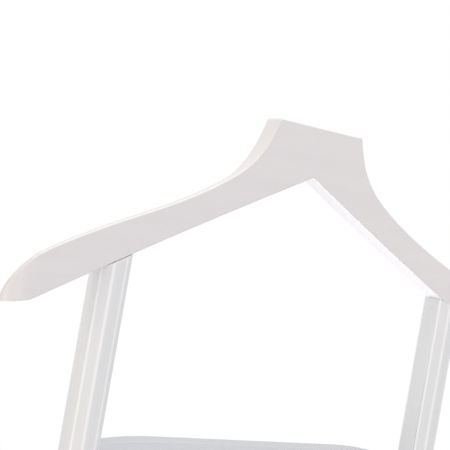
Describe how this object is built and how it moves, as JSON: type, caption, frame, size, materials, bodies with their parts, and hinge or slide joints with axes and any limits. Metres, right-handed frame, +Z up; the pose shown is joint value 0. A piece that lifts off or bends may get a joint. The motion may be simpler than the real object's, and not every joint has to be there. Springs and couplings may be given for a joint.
{
  "type": "valet stand",
  "caption": "Free-standing valet stand in white painted wood: a broad hanger on posts, a tray with an arched back board, a trouser bar and a slatted shoe rack.",
  "frame": {"origin": "centre of the footprint, on the floor", "axes": "+Z up, the hanger's flat front and the open side of the tray face -Y, +X along the hanger's width"},
  "size_m": [0.455, 0.35, 1.12],
  "materials": {
    "white_paint": "satin white paint on solid wood",
    "tray_paint": "satin white paint on board",
    "beech": "bare beech",
    "zinc": "zinc plated",
    "cap": "satin moulded",
    "pad": "matte moulded"
  },
  "bodies": {
    "root": {"hanger": "white_paint", "left_post": "white_paint", "right_post": "white_paint", "lower_rail": "white_paint", "trouser_bar": "white_paint", "left_runner": "white_paint", "right_runner": "white_paint", "shoe_slat_1": "white_paint", "shoe_slat_2": "white_paint", "shoe_slat_3": "white_paint", "tray_back_board": "tray_paint", "tray_front_rim": "tray_paint", "tray_left_rim": "tray_paint", "tray_right_rim": "tray_paint", "tray_floor": "tray_paint", "left_foot_dowel": "beech", "left_hanger_dowel": "beech", "left_rail_dowel_lower": "beech", "left_rail_dowel_upper": "beech", "right_foot_dowel": "beech", "right_hanger_dowel": "beech", "right_rail_dowel_lower": "beech", "right_rail_dowel_upper": "beech", "tray_left_dowel": "beech", "tray_right_dowel": "beech", "left_board_screw_upper": "zinc", "left_board_screw_lower": "zinc", "right_board_screw_upper": "zinc", "right_board_screw_lower": "zinc", "tray_left_screw_front": "zinc", "tray_left_screw_rear": "zinc", "tray_right_screw_front": "zinc", "tray_right_screw_rear": "zinc", "left_bar_screw": "zinc", "right_bar_screw": "zinc", "left_slat_screw_1": "zinc", "left_slat_screw_2": "zinc", "left_slat_screw_3": "zinc", "right_slat_screw_1": "zinc", "right_slat_screw_2": "zinc", "right_slat_screw_3": "zinc", "left_post_bolt": "zinc", "left_barrel_nut": "zinc", "right_post_bolt": "zinc", "right_barrel_nut": "zinc", "left_bar_cap": "cap", "right_bar_cap": "cap", "left_front_glide": "pad", "left_rear_glide": "pad", "right_front_glide": "pad", "right_rear_glide": "pad"}
  },
  "joints": []
}
